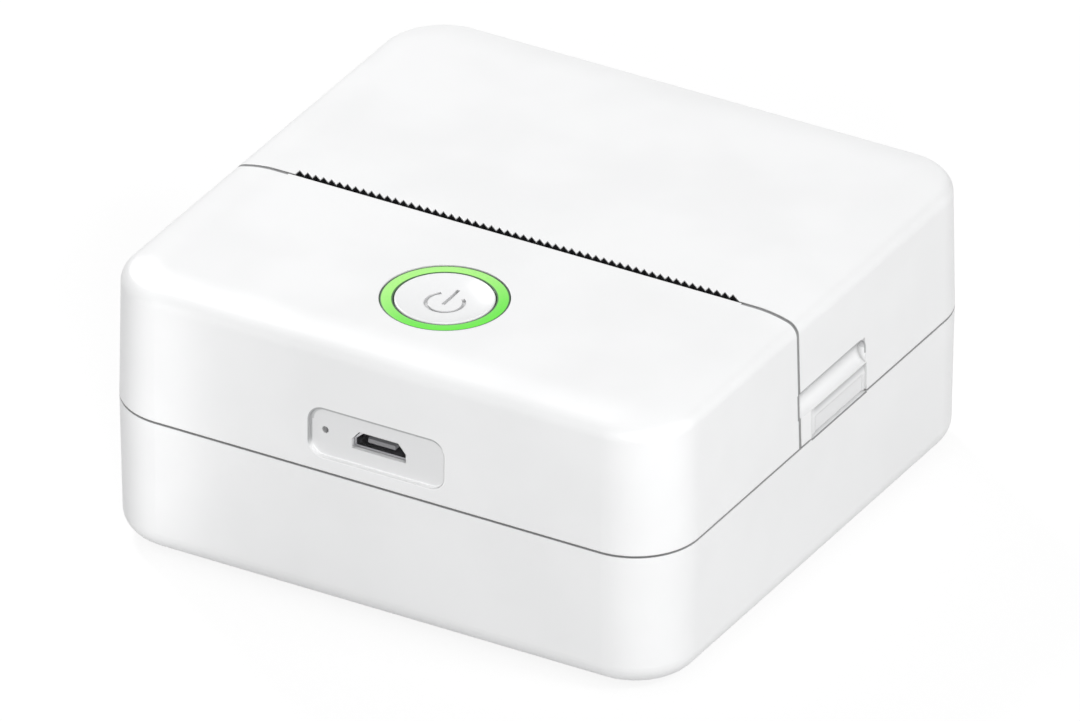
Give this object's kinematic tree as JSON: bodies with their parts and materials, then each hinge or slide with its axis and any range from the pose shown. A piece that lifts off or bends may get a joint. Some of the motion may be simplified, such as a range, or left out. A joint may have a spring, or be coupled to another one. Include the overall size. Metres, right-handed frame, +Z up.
{
  "type": "portable thermal printer",
  "caption": "Palm-sized square thermal printer: rounded two-part casing, hinged paper cover with saw-toothed tear edge, ringed power button and charging socket.",
  "frame": {"origin": "on the table, under the middle of the casing", "axes": "+X right along the front face with the charging socket, +Y to the back where the hinge is, +Z up"},
  "size_m": [0.08, 0.0786, 0.0375],
  "materials": {
    "white_plastic": "satin",
    "button_plastic": "satin",
    "green_light_pipe": "gloss, translucent",
    "black_plastic": "matt",
    "bush_plastic": "matt",
    "gear_plastic": "satin",
    "black_rubber": "matt",
    "foot_rubber": "matt",
    "steel": "satin",
    "screw_steel": "satin",
    "motor_steel": "satin",
    "socket_steel": "satin",
    "socket_grey": "matt",
    "heatsink_metal": "satin",
    "strip_ceramic": "gloss",
    "pinion_brass": "satin",
    "board_laminate": "satin",
    "chip_plastic": "matt",
    "led_resin": "gloss",
    "cell_foil": "satin"
  },
  "bodies": {
    "base": {"base_shell": "white_plastic", "front_shell": "white_plastic", "mechanism_frame": "black_plastic", "paper_sensor": "chip_plastic", "head_pivot_pin": "steel", "drive_motor": "motor_steel", "gear_studs": "steel", "paper_bay": "black_plastic", "light_ring": "green_light_pipe", "key_board": "board_laminate", "ring_leds": "led_resin", "power_switch": "chip_plastic", "main_board": "board_laminate", "usb_socket": "socket_steel", "usb_tongue": "socket_grey", "reset_switch": "chip_plastic", "board_chips": "chip_plastic", "battery_cell": "cell_foil", "feet": "foot_rubber", "case_screws": "screw_steel"},
    "cover": {"cover_shell": "white_plastic", "tear_bar": "black_plastic", "hinge_pins": "steel", "platen_bracket": "black_plastic", "platen_bushes": "bush_plastic", "bracket_screws": "screw_steel"},
    "platen": {"platen_shaft": "steel", "platen_rubber": "black_rubber", "platen_gear": "gear_plastic"},
    "print_head": {"head_plate": "heatsink_metal", "thermal_strip": "strip_ceramic", "head_spring": "steel"},
    "power_button": {"power_button": "button_plastic", "switch_plunger": "chip_plastic"},
    "reset_plunger": {"reset_plunger": "chip_plastic"},
    "motor_pinion": {"motor_pinion": "pinion_brass"},
    "compound_gear": {"compound_gear": "gear_plastic"},
    "idler_gear": {"idler_gear": "gear_plastic"}
  },
  "joints": [
    {"name": "cover_hinge", "type": "hinge", "parent": "base", "child": "cover", "pos_m": [0, 0.03711, 0.02165], "axis": [-1, 0, 0], "range_deg": [0, 90]},
    {"name": "platen_spin", "type": "hinge", "parent": "cover", "child": "platen", "pos_m": [0, -0.00115, 0.02805], "axis": [-1, 0, 0], "continuous": true},
    {"name": "idler_spin", "type": "hinge", "parent": "base", "child": "idler_gear", "pos_m": [0, -0.00306, 0.01661], "axis": [-1, 0, 0], "continuous": true},
    {"name": "compound_spin", "type": "hinge", "parent": "base", "child": "compound_gear", "pos_m": [0, -0.01172, 0.0138], "axis": [-1, 0, 0], "continuous": true},
    {"name": "motor_spin", "type": "hinge", "parent": "base", "child": "motor_pinion", "pos_m": [0, -0.0237, 0.01211], "axis": [-1, 0, 0], "continuous": true},
    {"name": "head_pivot", "type": "hinge", "parent": "base", "child": "print_head", "pos_m": [0, -0.0086, 0.0204], "axis": [1, 0, 0], "range_deg": [0, 1.5], "stiffness_Nm_per_rad": 0.5},
    {"name": "power_button_press", "type": "slide", "parent": "base", "child": "power_button", "axis": [0, 0, -1], "range_m": [0, 0.0004], "stiffness_N_per_m": 1500},
    {"name": "reset_press", "type": "slide", "parent": "base", "child": "reset_plunger", "axis": [0, 1, 0], "range_m": [0, 0.0003], "stiffness_N_per_m": 600}
  ],
  "couplings": [
    {"joint": "idler_spin", "follows": "platen_spin", "ratio": -0.91667},
    {"joint": "compound_spin", "follows": "platen_spin", "ratio": 1.8333},
    {"joint": "motor_spin", "follows": "platen_spin", "ratio": -5.5}
  ]
}
